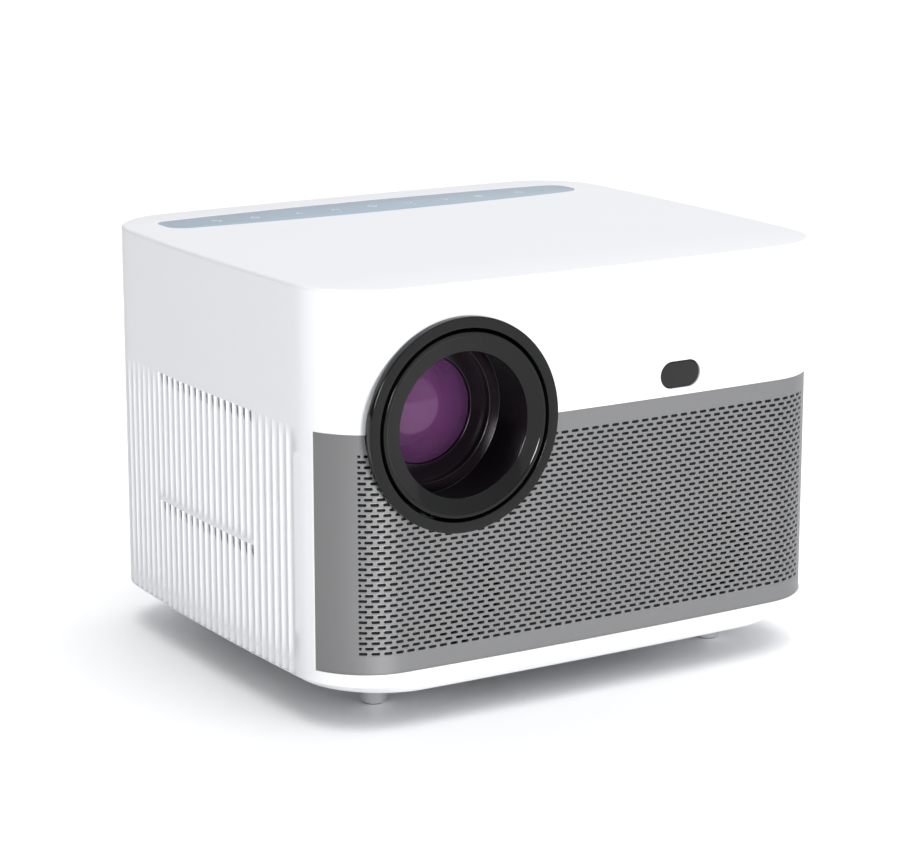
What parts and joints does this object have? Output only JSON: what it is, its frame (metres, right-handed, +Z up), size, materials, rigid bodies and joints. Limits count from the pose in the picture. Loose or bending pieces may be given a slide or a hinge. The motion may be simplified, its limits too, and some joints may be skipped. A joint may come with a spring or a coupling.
{
  "type": "home projector",
  "caption": "Box-shaped home projector: white cover over fluted, vented sides, perforated grey front, large black focusing lens at one side, touch strip on top and splayed round feet.",
  "frame": {"origin": "middle of the footprint on the table, level with the bottoms of the feet", "axes": "+Z up; the lens looks along -Y; +X is the side away from the lens, to the right as seen from in front"},
  "size_m": [0.258, 0.2257, 0.185],
  "materials": {
    "white_shell": "matte",
    "grey_shell": "matte",
    "base_shell": "matte",
    "grille_metal": "satin",
    "inner_black": "matte",
    "filter_foam": "matte",
    "gloss_black": "gloss",
    "barrel_black": "gloss",
    "window_acrylic": "gloss",
    "camera_black": "satin",
    "strip_acrylic": "satin",
    "foot_chrome": "polished",
    "brass": "machined",
    "panel_black": "matte",
    "socket_steel": "satin",
    "board_green": "satin",
    "board_brown": "satin",
    "aluminium": "brushed",
    "winding": "matte",
    "capacitor_sleeve": "satin",
    "post_steel": "satin",
    "speaker_steel": "matte",
    "cone_paper": "matte",
    "engine_black": "matte",
    "mirror_glass": "polished",
    "fresnel_acrylic": "gloss",
    "lcd_glass": "gloss",
    "heat_glass_pane": "gloss",
    "reflector_sheet": "polished",
    "led_phosphor": "satin",
    "fan_black": "satin",
    "duct_grey": "matte",
    "front_glass": "polished",
    "lens_glass": "polished",
    "screw_steel": "machined",
    "screw_black": "satin",
    "wire_red": "satin",
    "wire_black": "satin"
  },
  "bodies": {
    "projector": {"top_cover": "white_shell", "main_housing": "grey_shell", "base_plate": "base_shell", "front_grille": "grille_metal", "front_baffle": "inner_black", "dust_filter_left": "filter_foam", "dust_filter_right": "filter_foam", "lens_ring": "gloss_black", "sensor_window": "window_acrylic", "focus_camera": "camera_black", "touch_strip": "strip_acrylic", "touch_board": "board_green", "feet": "foot_chrome", "tripod_insert": "brass", "ceiling_inserts": "brass", "connector_panel": "panel_black", "power_inlet": "panel_black", "hdmi_sockets": "socket_steel", "usb_sockets": "socket_steel", "audio_jack": "panel_black", "main_board": "board_green", "chip_heat_sink": "aluminium", "power_board": "board_brown", "transformer": "winding", "capacitors": "capacitor_sleeve", "board_posts": "post_steel", "speaker_left": "speaker_steel", "speaker_right": "speaker_steel", "speaker_cones": "cone_paper", "engine_case": "engine_black", "engine_lid": "engine_black", "fold_mirror": "mirror_glass", "rear_fresnel": "fresnel_acrylic", "lcd_panel": "lcd_glass", "front_fresnel": "fresnel_acrylic", "heat_glass": "heat_glass_pane", "light_cone": "reflector_sheet", "led_module": "led_phosphor", "heat_sink": "aluminium", "fan_frame": "fan_black", "fan_duct": "duct_grey", "small_fan_frame": "fan_black", "lens_guide": "engine_black", "focus_motor": "post_steel", "speaker_wires": "wire_red", "inlet_leads": "wire_black", "lamp_leads": "wire_red", "housing_screws": "screw_black", "engine_brackets": "post_steel"},
    "lens": {"lens_barrel": "barrel_black", "front_lens": "front_glass", "middle_lens": "lens_glass", "rear_lens": "lens_glass", "lens_nut": "brass"},
    "focus_screw": {"focus_screw": "screw_steel"},
    "fan_rotor": {"fan_rotor": "fan_black"},
    "small_fan_rotor": {"small_fan_rotor": "fan_black"}
  },
  "joints": [
    {"name": "focus_screw_spin", "type": "hinge", "parent": "projector", "child": "focus_screw", "pos_m": [-0.0213, -0.05, 0.1265], "axis": [0, 1, 0], "range_deg": [-720, 720]},
    {"name": "focus_slide", "type": "slide", "parent": "projector", "child": "lens", "axis": [0, -1, 0], "range_m": [-0.004, 0.004]},
    {"name": "fan_spin", "type": "hinge", "parent": "projector", "child": "fan_rotor", "pos_m": [0.11, 0.0095, 0.1265], "axis": [1, 0, 0], "continuous": true},
    {"name": "small_fan_spin", "type": "hinge", "parent": "projector", "child": "small_fan_rotor", "pos_m": [-0.11, -0.00204, 0.0615], "axis": [1, 0, 0], "continuous": true}
  ],
  "couplings": [
    {"joint": "focus_screw_spin", "follows": "focus_slide", "rad_per_m": 3141.6}
  ]
}
